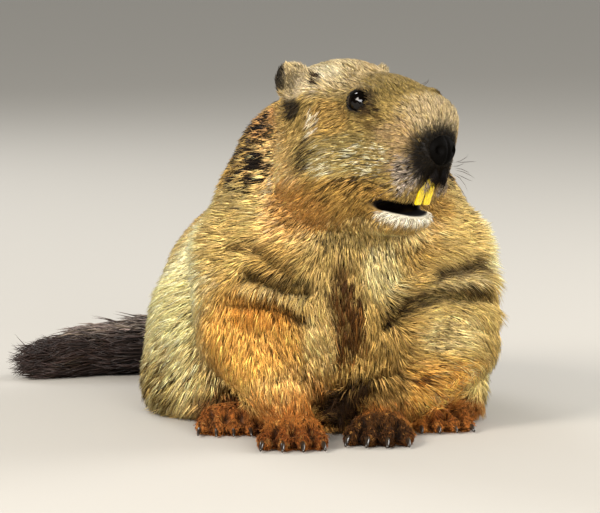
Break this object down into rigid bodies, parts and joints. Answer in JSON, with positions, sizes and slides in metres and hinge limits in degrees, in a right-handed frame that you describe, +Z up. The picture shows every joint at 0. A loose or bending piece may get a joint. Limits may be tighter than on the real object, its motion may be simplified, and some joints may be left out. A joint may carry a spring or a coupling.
{
  "type": "alpine marmot model",
  "caption": "Life-size still model of an alpine marmot sitting up on its forelegs, head turned to its left, mouth a little open, tail laid on the floor.",
  "frame": {"origin": "middle of the model's box, at floor level", "axes": "+Z up; the animal faces -Y, and its left side is +X"},
  "size_m": [0.294, 0.3702, 0.2209],
  "materials": {
    "coat_head": "short soft fur, grey-brown to olive, with pale streaks on the cheeks",
    "coat_body": "thick straight fur, tan and pale yellow with dark streaks",
    "coat_legs": "thick straight fur, orange-tan, rusty on the toes",
    "coat_tail": "long bushy fur, dark brown to black",
    "eye": "wet black",
    "tooth": "smooth yellow enamel",
    "claw": "dark horn, worn dull"
  },
  "bodies": {
    "root": {"head": "coat_head", "neck": "coat_body", "torso": "coat_body", "tail": "coat_tail", "ear_right": "coat_head", "ear_left": "coat_head", "eye_right": "eye", "eye_left": "eye", "incisor_right": "tooth", "incisor_left": "tooth", "foreleg_right": "coat_legs", "foreleg_left": "coat_legs", "forepaw_right": "coat_legs", "forepaw_left": "coat_legs", "hindleg_right": "coat_legs", "hindleg_left": "coat_legs", "hindfoot_right": "coat_legs", "hindfoot_left": "coat_legs", "claw_fore_right_1": "claw", "claw_fore_right_2": "claw", "claw_fore_right_3": "claw", "claw_fore_right_4": "claw", "claw_fore_left_1": "claw", "claw_fore_left_2": "claw", "claw_fore_left_3": "claw", "claw_fore_left_4": "claw", "claw_hind_right_1": "claw", "claw_hind_right_2": "claw", "claw_hind_right_3": "claw", "claw_hind_right_4": "claw", "claw_hind_right_5": "claw", "claw_hind_left_1": "claw", "claw_hind_left_2": "claw", "claw_hind_left_3": "claw", "claw_hind_left_4": "claw", "claw_hind_left_5": "claw"}
  },
  "joints": []
}
